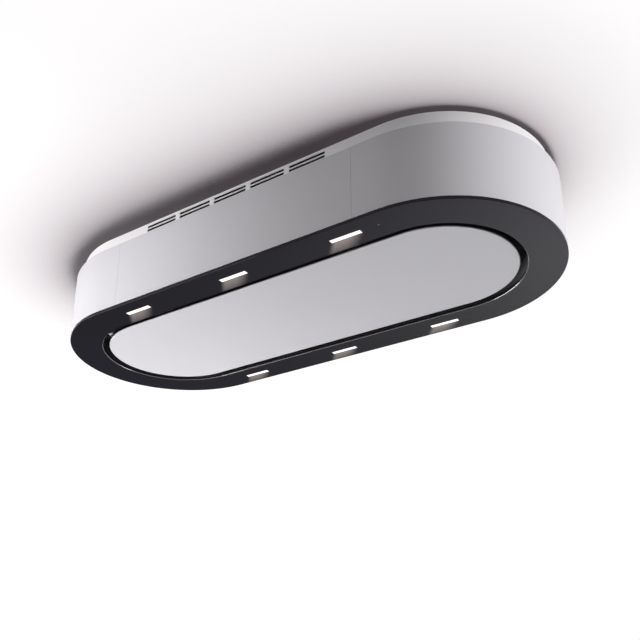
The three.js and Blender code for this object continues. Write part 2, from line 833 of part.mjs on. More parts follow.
function makeImpeller() {
  const backPlate = cylinderZ(impellerRadius, impellerTop - impellerPlate, impellerTop, wheelSegments);
  const shroud = cut(
    cylinderZ(impellerRadius, impellerUnder, impellerUnder + impellerPlate, wheelSegments),
    cylinderZ(
      impellerEyeRadius,
      impellerUnder - toolMargin,
      impellerUnder + impellerPlate + toolMargin,
      wheelSegments,
    ),
  );
  const overlap = impellerPlate / 2;
  const hub = cylinderZ(hubRadius, impellerTop - hubHeight, impellerTop - overlap);
  const blade = extrude(bladePlan(), impellerUnder + overlap, impellerTop - overlap);
  const blades = Array.from({ length: bladeCount }, (_, index) =>
    blade.clone().rotateZ((index * Math.PI * 2) / bladeCount),
  );
  const hubUnder = impellerTop - hubHeight;
  const bore = cylinderZ(shaftRadius + shaftClearance, hubUnder - toolMargin, impellerTop + toolMargin);
  place("impeller", cut(join(backPlate, shroud, hub, ...blades), bore), "blackPlastic");
}

function makeMotor() {
  const profile = [[0, scrollTop]];
  const pitch = motorHeight / (2 * motorGrooves + 1);
  profile.push([motorRadius, scrollTop]);
  for (let groove = 0; groove < motorGrooves; groove += 1) {
    const low = scrollTop + pitch * (2 * groove + 1);
    const core = motorRadius - motorGrooveDepth;
    profile.push([motorRadius, low], [core, low], [core, low + pitch], [motorRadius, low + pitch]);
  }
  profile.push([motorRadius, scrollTop + motorHeight], [0, scrollTop + motorHeight]);
  const body = turned(profile);
  const seatTop = scrollTop + shaftSeat + touchGap;
  const seat = cylinderZ(shaftRadius + shaftClearance, scrollTop - toolMargin, seatTop);
  place("motor", cut(body, seat), "motorPaint");
  const shaft = cylinderZ(shaftRadius, impellerTop - hubHeight, scrollTop + shaftSeat);
  place("motor_shaft", shaft, "shaftSteel");
}

// Two hat-shaped straps between the top plate and the scroll, one each side of the motor.
function makeBlowerStraps() {
  const footEnd = strapSpan / 2;
  const footUnder = topPlateUnder - strapSheet;
  const inner = strapBase / 2;
  const outer = inner + strapSheet;
  leftAndRight((name, side) => {
    const profile = polygon([
      [-footEnd, topPlateUnder],
      [-footEnd, footUnder],
      [-outer, footUnder],
      [-outer, scrollTop],
      [outer, scrollTop],
      [outer, footUnder],
      [footEnd, footUnder],
      [footEnd, topPlateUnder],
      [inner, topPlateUnder],
      [inner, scrollTop + strapSheet],
      [-inner, scrollTop + strapSheet],
      [-inner, topPlateUnder],
    ]);
    const strap = runAlongX(profile, -strapWidth / 2, strapWidth / 2);
    place(`blower_strap_${name}`, strap, "zincSteel", side * strapX);
  });
}

// Elbow from the scroll's mouth up through the top plate's opening.
function makeOutletDuct() {
  const start = scrollMouthX + touchGap;
  const innerX = ductOuterX - ductWidth;
  const elbow = (wall, left, top) => {
    const shape = new THREE.Shape();
    const reach = ductWidth + scrollWall - wall;
    const innerSide = innerX - scrollWall + wall;
    shape.moveTo(left, scrollUnder + wall);
    shape.lineTo(innerX, scrollUnder + wall);
    shape.absellipse(innerX, scrollUnder + wall + reach, reach, reach, -Math.PI / 2, 0);
    shape.lineTo(innerX + reach, top);
    shape.lineTo(innerSide, top);
    shape.lineTo(innerSide, scrollTop - wall);
    shape.lineTo(left, scrollTop - wall);
    shape.closePath();
    return shape;
  };
  const outside = runAlongY(elbow(0, start, topPlateUnder), -scrollEndRadius, tongueY);
  const insideShape = elbow(scrollWall, start - toolMargin, topPlateUnder + toolMargin);
  const inside = runAlongY(insideShape, -scrollEndRadius + scrollWall, tongueY - scrollWall);
  place("outlet_duct", cut(outside, inside), "zincSteel");
}

// ---------------------------------------------------------------- charcoal cassettes, boxes and cable inlet

function makeCharcoalFilters() {
  const halfLength = (slotPitch * slotsPerRow) / 2 + charcoalRib;
  const top = bodyTop + plenumHeight - touchGap;
  const pitch = (2 * halfLength - charcoalRib) / slotsPerRow;
  const windowHalf = (pitch - charcoalRib) / 2;
  const face = plinthInner - touchGap;
  const back = face - charcoalDepth;
  frontAndRear((name, side) => {
    const cassette = box(-halfLength, halfLength, back, face, bodyTop, top);
    const windows = centredRow(slotsPerRow, pitch).map((x) =>
      box(
        x - windowHalf,
        x + windowHalf,
        face - charcoalWindowDepth,
        face + toolMargin,
        bodyTop + charcoalRib / 2,
        top - charcoalRib / 2,
      ),
    );
    const filter = place(`charcoal_filter_${name}`, cut(cassette, ...windows), "charcoal");
    filter.rotation.z = side < 0 ? Math.PI : 0;
  });
}

function makeControlBox() {
  const halfLength = controlLength / 2;
  const halfWidth = controlWidth / 2;
  const under = topPlateUnder - controlHeight;
  const outside = box(-halfLength, halfLength, -halfWidth, halfWidth, under, topPlateUnder);
  const inside = box(
    -halfLength + controlWall,
    halfLength - controlWall,
    -halfWidth + controlWall,
    halfWidth - controlWall,
    under - toolMargin,
    topPlateUnder - controlWall,
  );
  place("control_box", cut(outside, inside), "greyPlastic", controlX);
  const lid = box(-halfLength, halfLength, -halfWidth, halfWidth, under - controlWall, under);
  place("control_lid", lid, "greyPlastic", controlX);
}

function makeLedDriver() {
  const halfLength = driverLength / 2;
  const halfWidth = driverWidth / 2;
  const under = topPlateUnder - driverHeight;
  const body = box(-halfLength, halfLength, -halfWidth, halfWidth, under, topPlateUnder);
  const tabs = box(
    -halfLength - driverTab,
    halfLength + driverTab,
    -driverTabWidth / 2,
    driverTabWidth / 2,
    topPlateUnder - driverTabThickness,
    topPlateUnder,
  );
  place("led_driver", join(body, tabs), "blackPlastic", driverX);
}

// Stands on the top plate beside the cable entry, with the cable gland facing it.
function makeTerminalBox() {
  const right = cableEntryX - cableEntrySize / 2 - terminalGap;
  const halfWidth = terminalWidth / 2;
  const left = right - terminalLength;
  const housing = box(left, right, -halfWidth, halfWidth, bodyTop, bodyTop + terminalHeight);
  place("terminal_box", housing, "greyPlastic");
  const nutLeft = right + touchGap;
  const nut = cylinderX(glandRadius, nutLeft, nutLeft + glandLength, hexSides);
  const bore = cylinderX(glandBore, nutLeft - toolMargin, nutLeft + glandLength + toolMargin);
  place("cable_gland", cut(nut, bore), "blackPlastic", 0, 0, bodyTop + terminalHeight / 2);
}

// ---------------------------------------------------------------- assembly

makeCeilingPlate();
makePlinth();
makePosts();
makeTopPlate();
makeAirBox();
makeSidePanels();
makeEndShells();
makeGlassCarrier();
makeGlassRing();
makeLenses();
makeLampRails();
makeReceiver();
makePanel();
makeHinges();
makeCatches();
makeFilterDeck();
makeFilterRails();
makeGreaseFilters();
makeFilterLatches();
makeScroll();
makeInletRing();
makeImpeller();
makeMotor();
makeBlowerStraps();
makeOutletDuct();
makeCharcoalFilters();
makeControlBox();
makeLedDriver();
makeTerminalBox();

export default hood;
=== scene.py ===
import json
import math

import bmesh
import bpy
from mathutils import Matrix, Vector


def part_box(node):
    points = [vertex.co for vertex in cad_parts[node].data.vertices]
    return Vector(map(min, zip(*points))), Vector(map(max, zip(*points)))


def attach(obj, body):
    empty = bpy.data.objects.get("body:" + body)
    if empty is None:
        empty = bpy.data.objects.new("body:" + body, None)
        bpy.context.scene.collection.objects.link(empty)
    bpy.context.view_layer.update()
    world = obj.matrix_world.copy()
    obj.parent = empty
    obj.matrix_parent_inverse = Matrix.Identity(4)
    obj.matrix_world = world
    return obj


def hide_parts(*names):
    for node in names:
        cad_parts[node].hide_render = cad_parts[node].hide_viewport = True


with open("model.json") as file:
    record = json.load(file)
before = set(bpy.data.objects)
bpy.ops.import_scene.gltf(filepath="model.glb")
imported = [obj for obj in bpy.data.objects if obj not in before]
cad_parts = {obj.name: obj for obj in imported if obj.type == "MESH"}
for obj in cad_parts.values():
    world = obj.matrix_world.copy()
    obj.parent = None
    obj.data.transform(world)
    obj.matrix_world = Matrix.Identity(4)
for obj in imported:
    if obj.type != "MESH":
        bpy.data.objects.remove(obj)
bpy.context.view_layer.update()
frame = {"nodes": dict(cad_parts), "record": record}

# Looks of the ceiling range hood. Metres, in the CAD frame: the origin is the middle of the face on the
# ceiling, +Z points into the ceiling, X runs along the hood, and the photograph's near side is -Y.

scene = bpy.context.scene
MM = 0.001


# ---------------------------------------------------------------- sizes read from the frame


SAME_LEVEL = 0.01 * MM


def corners(node):
    return [vertex.co for vertex in frame["nodes"][node].data.vertices]


GLASS_LOW, GLASS_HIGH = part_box("glass_ring")
STRAIGHT = GLASS_HIGH.x - GLASS_HIGH.y  # half length of the hood's straight middle


def offset_from_middle(point):
    """Distance from the hood's straight middle line: the same all along any stadium outline."""
    return math.hypot(max(abs(point.x) - STRAIGHT, 0), point.y)


def inner_radius(node):
    return min(offset_from_middle(corner) for corner in corners(node))


def outer_radius(node):
    return max(offset_from_middle(corner) for corner in corners(node))


def footprint(node, level):
    """Middle, length and width of a node's outline at one height."""
    face = [corner for corner in corners(node) if abs(corner.z - level) < SAME_LEVEL]
    xs = [corner.x for corner in face]
    ys = [corner.y for corner in face]
    return (min(xs) + max(xs)) / 2, (min(ys) + max(ys)) / 2, max(xs) - min(xs), max(ys) - min(ys)


SHEET = 1.5 * MM
CUT_EDGE = 0.3 * MM  # rounding of a sheet's cut edge
FIT_GAP = 0.3 * MM  # around a piece that sits in a window
LAMPS = [f"lamp_lens_{number}" for number in range(1, 7)]
FILTERS = range(1, 4)


# ---------------------------------------------------------------- mesh helpers

ARC_STEPS = 72  # of each half round
FILLET_STEPS = 4


def station(x, angle):
    """A place on the middle line and the direction outwards from it."""
    return x, math.cos(angle), math.sin(angle)


def half_round(x, start):
    return [station(x, start + math.pi * step / ARC_STEPS) for step in range(ARC_STEPS + 1)]


def whole_path():
    return half_round(STRAIGHT, -math.pi / 2) + half_round(-STRAIGHT, math.pi / 2)


def end_path(side, seam):
    """From one seam round the end to the other: side is 1 for the right end and -1 for the left."""
    right = [station(seam, -math.pi / 2)] + half_round(STRAIGHT, -math.pi / 2) + [station(seam, math.pi / 2)]
    return [(side * x, side * out_x, side * out_y) for x, out_x, out_y in right]


def side_path(side, half_length):
    return [station(x, side * math.pi / 2) for x in (-half_length, half_length)]


def rounded(outline, steps=FILLET_STEPS):
    """A closed outline whose (x, y, rounding) corners become arcs."""
    points = []
    for index, (x, y, rounding) in enumerate(outline):
        here = Vector((x, y))
        if not rounding:
            points.append((x, y))
            continue
        before = (Vector(outline[index - 1][:2]) - here).normalized()
        after = (Vector(outline[(index + 1) % len(outline)][:2]) - here).normalized()
        half = before.angle(after) / 2
        centre = here + (before + after).normalized() * rounding / math.sin(half)
        start = here + before * rounding / math.tan(half) - centre
        end = here + after * rounding / math.tan(half) - centre
        turn = start.angle(end)
        for step in range(steps + 1):
            share = step / steps
            spoke = (start * math.sin((1 - share) * turn) + end * math.sin(share * turn)) / math.sin(turn)
            points.append(tuple(centre + spoke))
    return points


def rectangle(x, y, length, width, rounding):
    half_x, half_y = length / 2, width / 2
    return rounded([
        (x - half_x, y - half_y, rounding),
        (x + half_x, y - half_y, rounding),
        (x + half_x, y + half_y, rounding),
        (x - half_x, y + half_y, rounding),
    ])


def circle(x, y, radius, sides=24):
    turns = [2 * math.pi * side / sides for side in range(sides)]
    return [(x + radius * math.cos(turn), y + radius * math.sin(turn)) for turn in turns]


def new_piece(name, vertices, faces):
    mesh = bpy.data.meshes.new(name)
    mesh.from_pydata(vertices, [], faces)
    editing = bmesh.new()
    editing.from_mesh(mesh)
    bmesh.ops.recalc_face_normals(editing, faces=editing.faces)
    editing.to_mesh(mesh)
    editing.free()
    piece = bpy.data.objects.new(name, mesh)
    scene.collection.objects.link(piece)
    return piece


def sweep(name, profile, path, ring=True, capped=False):
    """A profile of (radius, height) points carried along a path. A capped one is open at its ends, where it
    closes in a flat face."""
    vertices = [
        (x + out_x * radius, out_y * radius, height) for x, out_x, out_y in path for radius, height in profile
    ]
    count = len(profile)
    last = len(path) if ring else len(path) - 1
    sides = count - 1 if capped else count
    faces = []
    for here in range(last):
        there = (here + 1) % len(path)
        for low in range(sides):
            high = (low + 1) % count
            faces.append((here * count + low, there * count + low, there * count + high, here * count + high))
    if capped:
        faces.append([here * count for here in range(len(path))])
        faces.append([here * count + count - 1 for here in range(len(path))])
    if not ring:
        faces.append(list(range(count)))
        faces.append([(len(path) - 1) * count + point for point in range(count)])
    return new_piece(name, vertices, faces)


def prisms(name, outlines, low, high, along_y=False):
    """Outlines drawn in X and Y and run along Z, or drawn in X and Z and run along Y."""
    vertices = []
    faces = []
    for outline in outlines:
        first = len(vertices)
        count = len(outline)
        for level in (low, high):
            vertices += [(x, level, y) if along_y else (x, y, level) for x, y in outline]
        faces.append(list(range(first, first + count)))
        faces.append(list(range(first + count, first + 2 * count)))
        for here in range(count):
            there = (here + 1) % count
            faces.append((first + here, first + there, first + count + there, first + count + here))
    return new_piece(name, vertices, faces)


def turned(name, profile, x, y, sides=32):
    """An open (radius, height) profile turned about a vertical axis at x and y, closed at both ends."""
    turns = [2 * math.pi * side / sides for side in range(sides)]
    vertices = [(x + r * math.cos(turn), y + r * math.sin(turn), z) for turn in turns for r, z in profile]
    count = len(profile)
    faces = [[side * count for side in range(sides)], [side * count + count - 1 for side in range(sides)]]
    for here in range(sides):
        there = (here + 1) % sides
        for low in range(count - 1):
            high = low + 1
            faces.append((here * count + low, there * count + low, there * count + high, here * count + high))
    return new_piece(name, vertices, faces)


def carve(piece, cutter):
    """Takes the cutter away from the piece and deletes the cutter."""
    cutting = piece.modifiers.new("cut", "BOOLEAN")
    cutting.operation = "DIFFERENCE"
    cutting.solver = "EXACT"
    cutting.object = cutter
    cut = bpy.data.meshes.new_from_object(piece.evaluated_get(bpy.context.evaluated_depsgraph_get()))
    piece.modifiers.clear()
    piece.data = cut
    bpy.data.objects.remove(cutter)
    return piece


SMOOTH_ANGLE = 30
FACET_ANGLE = 31  # takes in the coarsest arcs of the CAD's round solids
BEVEL_ANGLE = 40


def smooth(piece, angle=SMOOTH_ANGLE):
    """Smooth shading that keeps sharp edges sharp and flat faces flat."""
    for polygon in piece.data.polygons:
        polygon.use_smooth = True
    piece.data.set_sharp_from_angle(angle=math.radians(angle))
    weighted = piece.modifiers.new("even_shading", "WEIGHTED_NORMAL")
    weighted.keep_sharp = True


def soften(piece, width):
    """A small bevel on every hard edge."""
    bevel = piece.modifiers.new("soft_edges", "BEVEL")
    bevel.width = width
    bevel.segments = 2
    bevel.limit_method = "ANGLE"
    bevel.angle_limit = math.radians(BEVEL_ANGLE)


def finish_piece(piece, material, body="hood", replaced=()):
    piece.data.materials.clear()
    piece.data.materials.append(material)
    smooth(piece)
    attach(piece, body)
    if replaced:
        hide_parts(*replaced)
    return piece


# ---------------------------------------------------------------- material helpers


def new_material(name, colour, roughness, metallic=0.0):
    material = bpy.data.materials.new(name)
    material.use_nodes = True
    shader = material.node_tree.nodes["Principled BSDF"]
    shader.inputs["Base Color"].default_value = (*colour, 1)
    shader.inputs["Roughness"].default_value = roughness
    shader.inputs["Metallic"].default_value = metallic
    return material, material.node_tree, shader


def object_place(tree):
    """The point's place in the CAD frame."""
    for node in tree.nodes:
        if node.type == "TEX_COORD":
            return node.outputs["Object"]
    return tree.nodes.new("ShaderNodeTexCoord").outputs["Object"]


def stretched_place(tree, scale):
    mapping = tree.nodes.new("ShaderNodeMapping")
    mapping.inputs["Scale"].default_value = scale
    tree.links.new(object_place(tree), mapping.inputs["Vector"])
    return mapping.outputs["Vector"]


def turned_place(tree, turn):
    mapping = tree.nodes.new("ShaderNodeMapping")
    mapping.inputs["Rotation"].default_value = turn
    tree.links.new(object_place(tree), mapping.inputs["Vector"])
    return mapping.outputs["Vector"]


def noise(tree, scale, detail=2.0, place=None):
    node = tree.nodes.new("ShaderNodeTexNoise")
    node.inputs["Scale"].default_value = scale
    node.inputs["Detail"].default_value = detail
    tree.links.new(place or object_place(tree), node.inputs["Vector"])
    return node.outputs["Fac"]


def math_node(tree, operation, *values):
    node = tree.nodes.new("ShaderNodeMath")
    node.operation = operation
    for index, value in enumerate(values):
        if isinstance(value, (int, float)):
            node.inputs[index].default_value = value
        else:
            tree.links.new(value, node.inputs[index])
    return node.outputs[0]


def stretch(tree, value, low, high, to_low, to_high, kind="LINEAR"):
    node = tree.nodes.new("ShaderNodeMapRange")
    node.interpolation_type = kind
    for socket, number in zip(("From Min", "From Max", "To Min", "To Max"), (low, high, to_low, to_high)):
        node.inputs[socket].default_value = number
    tree.links.new(value, node.inputs["Value"])
    return node.outputs["Result"]


MIX_FIRST, MIX_SECOND, MIX_RESULT = 6, 7, 2  # the Mix node's colour sockets, which share their names


def blend_colours(tree, share, first, second):
    """The first colour where the share is 0 and the second where it is 1."""
    node = tree.nodes.new("ShaderNodeMix")
    node.data_type = "RGBA"
    tree.links.new(share, node.inputs["Factor"])
    for socket, colour in ((node.inputs[MIX_FIRST], first), (node.inputs[MIX_SECOND], second)):
        if isinstance(colour, tuple):
            socket.default_value = (*colour, 1)
        else:
            tree.links.new(colour, socket)
    return node.outputs[MIX_RESULT]


NOISE_LOW, NOISE_HIGH = 0.3, 0.7  # between which nearly all of a noise's values lie


def spread_noise(tree, value, low, high):
    """Carries a noise's usual values to the range from low to high."""
    return stretch(tree, value, NOISE_LOW, NOISE_HIGH, low, high)


def link_all(tree, shader, **sources):
    """Links each named source to the shader's socket of that name: base_color is Base Color, and so on."""
    for name, source in sources.items():
        tree.links.new(source, shader.inputs[name.replace("_", " ").title()])


def bump(tree, shader, height, strength, distance):
    node = tree.nodes.new("ShaderNodeBump")
    node.inputs["Strength"].default_value = strength
    node.inputs["Distance"].default_value = distance
    tree.links.new(height, node.inputs["Height"])
    tree.links.new(node.outputs["Normal"], shader.inputs["Normal"])


def shade(colour, factor):
    return tuple(channel * factor for channel in colour)


# ---------------------------------------------------------------- materials


MESH_SLANT = math.radians(32)
MESH_WAVES = 70  # per metre, times the wave texture's own factor


def satin_paint(name, colour, roughness, specular=0.5):
    """Powder coat: faint orange peel and a slow drift in tone and gloss."""
    material, tree, shader = new_material(name, colour, roughness)
    shader.inputs["Specular IOR Level"].default_value = specular
    drift = spread_noise(tree, noise(tree, 3.5), 0, 1)
    tone = blend_colours(tree, drift, shade(colour, 0.985), shade(colour, 1.015))
    gloss = spread_noise(tree, noise(tree, 14, 4), roughness - 0.03, roughness + 0.05)
    link_all(tree, shader, base_color=tone, roughness=gloss)
    bump(tree, shader, noise(tree, 620, 3), strength=0.12, distance=0.05 * MM)
    return material


def galvanised(name):
    """Zinc-coated sheet with its crystal flakes."""
    colour = (0.56, 0.58, 0.60)
    material, tree, shader = new_material(name, colour, 0.42, 0.85)
    flakes = tree.nodes.new("ShaderNodeTexVoronoi")
    flakes.inputs["Scale"].default_value = 85
    tree.links.new(object_place(tree), flakes.inputs["Vector"])
    spread = tree.nodes.new("ShaderNodeSeparateColor")
    tree.links.new(flakes.outputs["Color"], spread.inputs["Color"])
    tone = blend_colours(tree, spread.outputs["Red"], shade(colour, 0.86), shade(colour, 1.1))
    gloss = stretch(tree, spread.outputs["Green"], 0, 1, 0.34, 0.52)
    link_all(tree, shader, base_color=tone, roughness=gloss)
    bump(tree, shader, noise(tree, 260, 3), strength=0.1, distance=0.05 * MM)
    return material


def filter_aluminium(name):
    """Satin aluminium with the fine diamond pattern of expanded mesh."""
    colour = (0.70, 0.71, 0.72)
    material, tree, shader = new_material(name, colour, 0.34, 0.95)
    waves = []
    for slant in (MESH_SLANT, -MESH_SLANT):
        wave = tree.nodes.new("ShaderNodeTexWave")
        wave.inputs["Scale"].default_value = MESH_WAVES
        tree.links.new(turned_place(tree, (0, 0, slant)), wave.inputs["Vector"])
        waves.append(wave.outputs["Fac"])
    weave = math_node(tree, "MAXIMUM", *waves)
    link_all(tree, shader, base_color=blend_colours(tree, weave, shade(colour, 0.4), colour))
    bump(tree, shader, weave, strength=0.4, distance=0.3 * MM)
    return material


def brushed_aluminium(name):
    """Drawn section with fine lines along X."""
    colour = (0.66, 0.67, 0.69)
    material, tree, shader = new_material(name, colour, 0.3, 0.95)
    lines = noise(tree, 60, 3, stretched_place(tree, (1, 30, 30)))
    tone = blend_colours(tree, lines, shade(colour, 0.88), shade(colour, 1.08))
    link_all(tree, shader, base_color=tone, roughness=spread_noise(tree, lines, 0.24, 0.42))
    bump(tree, shader, lines, strength=0.12, distance=0.05 * MM)
    return material


def moulded_plastic(name, colour, roughness):
    """Plastic with a fine moulded grain."""
    material, tree, shader = new_material(name, colour, roughness)
    grain = noise(tree, 1400, 2)
    tone = blend_colours(tree, noise(tree, 25, 3), shade(colour, 0.88), shade(colour, 1.12))
    gloss = spread_noise(tree, grain, roughness - 0.06, roughness + 0.08)
    link_all(tree, shader, base_color=tone, roughness=gloss)
    bump(tree, shader, grain, strength=0.25, distance=0.08 * MM)
    return material


def active_charcoal(name):
    """Pressed charcoal grains."""
    colour = (0.018, 0.018, 0.019)
    material, tree, shader = new_material(name, colour, 0.85)
    grains = tree.nodes.new("ShaderNodeTexVoronoi")
    grains.inputs["Scale"].default_value = 420
    tree.links.new(object_place(tree), grains.inputs["Vector"])
    tone = blend_colours(tree, grains.outputs["Distance"], shade(colour, 2.2), shade(colour, 0.4))
    link_all(tree, shader, base_color=tone)
    bump(tree, shader, grains.outputs["Distance"], strength=0.6, distance=0.6 * MM)
    return material


def ground_steel(name):
    """Turned and ground steel."""
    colour = (0.62, 0.63, 0.65)
    material, tree, shader = new_material(name, colour, 0.2, 1.0)
    rings = noise(tree, 400, 2, stretched_place(tree, (1, 0.1, 1)))
    tone = blend_colours(tree, rings, shade(colour, 0.85), shade(colour, 1.05))
    link_all(tree, shader, base_color=tone, roughness=spread_noise(tree, rings, 0.16, 0.3))
    return material


LAMP_X, LAMP_Y, LAMP_LENGTH, LAMP_WIDTH = (abs(number) for number in footprint(LAMPS[0], GLASS_LOW.z))
# The painted glow: light the glass gives off beside each lamp, on the lamp's +Y side only.
GLOW_SLANT = 0.85  # how far the glow leans towards -X as it runs towards +Y
PAINTED_GLOW_COLOUR = (0.26, 0.225, 0.215)
GLOW_FADE = 48 * MM
GLOW_EDGE_IN, GLOW_EDGE_OUT = 11.2 * MM, 4.8 * MM  # the soft edge's reach inside and past the lamp's ends
GLOW_START = 2 * MM  # on both sides of the lamp's long edge
GLOW_FAR_END = 0.3  # how bright the glow is at the lamp's +X end, next to its -X end


def place_by_lamp(tree):
    """The point's place from the middle of the nearest lamp, along and across the hood."""
    apart = tree.nodes.new("ShaderNodeSeparateXYZ")
    tree.links.new(object_place(tree), apart.inputs["Vector"])
    x, y = apart.outputs["X"], apart.outputs["Y"]
    nearest = math_node(tree, "ROUND", math_node(tree, "DIVIDE", x, LAMP_X))
    nearest = math_node(tree, "MINIMUM", math_node(tree, "MAXIMUM", nearest, -1), 1)
    along = math_node(tree, "MULTIPLY_ADD", nearest, -LAMP_X, x)
    across = math_node(tree, "MULTIPLY_ADD", math_node(tree, "SIGN", y), -LAMP_Y, y)
    return along, across


def painted_lamp_glow(tree):
    """From 0 to 1: a painted glow that stands for the light each lamp throws on the glass on its +Y side."""
    along, across = place_by_lamp(tree)
    behind = math_node(tree, "SUBTRACT", across, LAMP_WIDTH / 2)
    straight = math_node(tree, "MULTIPLY_ADD", behind, GLOW_SLANT, along)
    reach = LAMP_LENGTH / 2
    from_middle = math_node(tree, "ABSOLUTE", straight)
    edge = stretch(tree, from_middle, reach - GLOW_EDGE_IN, reach + GLOW_EDGE_OUT, 1, 0, "SMOOTHSTEP")
    lean = stretch(tree, straight, 0, reach, 1, GLOW_FAR_END, "SMOOTHSTEP")
    start = stretch(tree, behind, -GLOW_START, GLOW_START, 0, 1, "SMOOTHSTEP")
    fade = stretch(tree, behind, 0, GLOW_FADE, 1, 0)
    glow = math_node(tree, "MULTIPLY", edge, lean)
    return math_node(tree, "MULTIPLY", math_node(tree, "MULTIPLY", glow, start), fade)


def black_glass(name):
    """Gloss glass, black on its back, with a painted glow in its emission beside each lamp, on the lamp's +Y
    side.
    """
    colour = (0.004, 0.003, 0.008)
    material, tree, shader = new_material(name, colour, 0.06)
    shader.inputs["Specular IOR Level"].default_value = 0.2
    shader.inputs["Specular Tint"].default_value = (0.93, 0.86, 1.0, 1)
    smears = stretch(tree, noise(tree, 6, 5), 0.35, 0.7, 0.04, 0.1)
    tone = blend_colours(tree, noise(tree, 2.2), shade(colour, 0.8), shade(colour, 1.2))
    # Painted glow: emission on the glass beside each lamp.
    glow = blend_colours(tree, painted_lamp_glow(tree), (0, 0, 0), PAINTED_GLOW_COLOUR)
    shader.inputs["Emission Strength"].default_value = 1
    link_all(tree, shader, roughness=smears, base_color=tone, emission_color=glow)
    return material


def glass_edge_painted_highlight(name):
    """The polished chamfer of the glass's inner edge: its mid grey is a painted highlight, and its gloss
    catches real highlights from the lights.
    """
    colour = (0.27, 0.26, 0.28)
    material, tree, shader = new_material(name, colour, 0.16)
    shader.inputs["Specular IOR Level"].default_value = 1.0
    link_all(tree, shader, base_color=blend_colours(tree, noise(tree, 300, 3), shade(colour, 0.8), colour))
    bump(tree, shader, noise(tree, 900, 2), strength=0.15, distance=0.05 * MM)
    return material


LENS_RIM = 2.2 * MM  # unlit border of each lens
LENS_GLOW = (1.15, 1.4)  # between the ribs and on them


def lit_lens(name):
    """Opal lens over a lit lamp, with fine cross ribs and a dark rim."""
    colour = (0.35, 0.34, 0.34)
    material, tree, shader = new_material(name, colour, 0.35)
    ribs = tree.nodes.new("ShaderNodeTexWave")
    ribs.bands_direction = "X"
    ribs.inputs["Scale"].default_value = 160
    tree.links.new(object_place(tree), ribs.inputs["Vector"])
    along, across = place_by_lamp(tree)
    from_end = math_node(tree, "SUBTRACT", LAMP_LENGTH / 2, math_node(tree, "ABSOLUTE", along))
    from_side = math_node(tree, "SUBTRACT", LAMP_WIDTH / 2, math_node(tree, "ABSOLUTE", across))
    from_edge = math_node(tree, "MINIMUM", from_end, from_side)
    lit = stretch(tree, from_edge, 0, LENS_RIM, 0, 1, "SMOOTHSTEP")
    strength = math_node(tree, "MULTIPLY", lit, stretch(tree, ribs.outputs["Fac"], 0, 1, *LENS_GLOW))
    shader.inputs["Emission Color"].default_value = (1.0, 0.985, 0.97, 1)
    tone = blend_colours(tree, lit, shade(colour, 0.5), colour)
    link_all(tree, shader, emission_strength=strength, base_color=tone)
    bump(tree, shader, ribs.outputs["Fac"], strength=0.2, distance=0.1 * MM)
    return material


MATERIALS = {
    "body_paint": satin_paint("satin_body_paint", (0.64, 0.625, 0.655), 0.36),
    "plinth_paint": satin_paint("satin_plinth_paint", (0.85, 0.83, 0.845), 0.42),
    "panel_paint": satin_paint("satin_panel_paint", (0.70, 0.685, 0.72), 0.36),
    # Dark grey: partly the lip's own paint, darkened further as painted shade for the gap round the panel.
    "lip_paint": satin_paint("satin_lip_paint_darkened_as_shade", (0.13, 0.127, 0.135), 0.6, 0.15),
    "black_glass": black_glass("gloss_black_glass"),
    "lens": lit_lens("lit_opal_lens"),
    "zinc_steel": galvanised("galvanised_sheet"),
    "aluminium": filter_aluminium("expanded_aluminium"),
    "black_plastic": moulded_plastic("black_moulding", (0.022, 0.022, 0.024), 0.5),
    "grey_plastic": moulded_plastic("grey_moulding", (0.16, 0.165, 0.175), 0.45),
    "motor_paint": satin_paint("motor_enamel", (0.035, 0.038, 0.042), 0.4),
    "charcoal": active_charcoal("active_charcoal"),
    "shaft_steel": ground_steel("ground_steel"),
}
FRAME_ALUMINIUM = brushed_aluminium("brushed_aluminium")
GLASS_EDGE_HIGHLIGHT = glass_edge_painted_highlight("glass_edge_painted_highlight")
# Black that stands in for shade on the panel's rim, the glass's inner wall, the filter deck and the air box's
# wall: painted shade in the gap round the panel.
SHADE_GAP_BLACK = satin_paint("matt_black_painted_shade", (0.03, 0.029, 0.031), 0.7, 0.1)


# ---------------------------------------------------------------- carried-over CAD nodes

for subpart in frame["record"]["subparts"]:
    node = frame["nodes"][subpart["node"]]
    node.data.materials.clear()
    node.data.materials.append(MATERIALS[subpart["material_slot"]])

ENDS = ("left", "right")
ROUND_NODES = ["impeller", "motor", "motor_shaft", "inlet_ring", "outlet_duct", "blower_scroll"]
ROUND_NODES += ["cable_gland", "air_box_wall"]
ROUND_NODES += [f"hinge_{part}_{side}" for part in ("pin", "leaf", "bracket") for side in ENDS]
for name in ROUND_NODES:
    smooth(frame["nodes"][name], FACET_ANGLE)

ALUMINIUM_NODES = ["lamp_rail_front", "lamp_rail_rear"] + [f"filter_frame_{number}" for number in FILTERS]
for name in ALUMINIUM_NODES:
    frame["nodes"][name].data.materials[0] = FRAME_ALUMINIUM
# Painted black as shade, so that the gap round the panel looks black.
for name in ("filter_deck", "air_box_wall"):
    frame["nodes"][name].data.materials[0] = SHADE_GAP_BLACK

SOFT_EDGE = 0.4 * MM
SOFT_NODES = ["filter_deck", "filter_rail_front", "filter_rail_rear"]
SOFT_NODES += ["control_lid", "led_driver", "terminal_box"]
SOFT_NODES += [f"filter_{part}_{number}" for part in ("frame", "latch") for number in FILTERS]
SOFT_NODES += [f"magnet_catch_{side}" for side in ENDS]
for name in SOFT_NODES:
    soften(frame["nodes"][name], SOFT_EDGE)


# ---------------------------------------------------------------- glass ring, lamps and receiver

POLISHED_EDGE = 1.1 * MM
WINDOW_ROUNDING = 1.2 * MM
LENS_EDGE = 0.5 * MM
DOME_HEIGHT = 0.6 * MM
DOME_TURNS = (0.5, 1.0, 1.3, 1.57)  # radians from the dome's middle
WALL_TILT = 0.1  # a face whose normal has less Z than this is a wall


def is_wall(polygon):
    return abs(polygon.normal.z) < WALL_TILT


